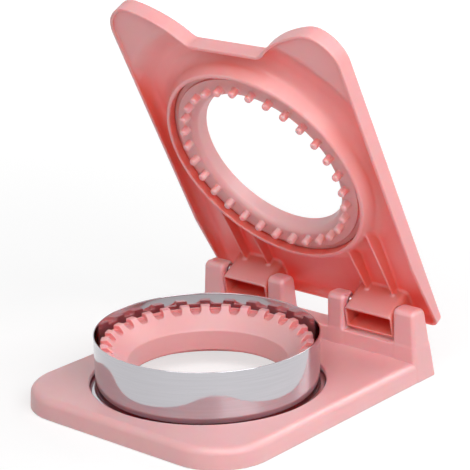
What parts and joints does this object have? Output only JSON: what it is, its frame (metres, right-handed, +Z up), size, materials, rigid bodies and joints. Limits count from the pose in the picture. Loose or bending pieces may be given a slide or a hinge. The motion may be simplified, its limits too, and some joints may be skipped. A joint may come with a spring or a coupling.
{
  "type": "sandwich cutter and sealer",
  "caption": "Hinged sandwich cutter and sealer: a steel cutting ring round a crimping ring on a flat base, closed by a lid with a pegged press ring and two ears.",
  "frame": {"origin": "on the surface that the base stands on, at the middle of the object's width and depth with the lid open as in the picture", "axes": "+Z up from the base's underside, -Y towards the user and away from the hinge, +X to the user's right along the hinge"},
  "size_m": [0.1176, 0.14, 0.1578],
  "materials": {
    "pink_plastic": "satin",
    "seal_pink_plastic": "satin",
    "polished_steel": "polished",
    "hinge_pin_steel": "satin"
  },
  "bodies": {
    "base": {"base_shell": "pink_plastic", "base_seal_ring": "seal_pink_plastic", "cutter_ring": "polished_steel", "hinge_pin_left_outer": "hinge_pin_steel", "hinge_pin_left_inner": "hinge_pin_steel", "hinge_pin_right_inner": "hinge_pin_steel", "hinge_pin_right_outer": "hinge_pin_steel"},
    "lid": {"lid_shell": "pink_plastic", "lid_press_ring": "seal_pink_plastic"}
  },
  "joints": [
    {"name": "lid_hinge", "type": "hinge", "parent": "base", "child": "lid", "pos_m": [0, 0.05688, 0.0271], "axis": [-1, 0, 0], "range_deg": [-62.5, 8]}
  ]
}
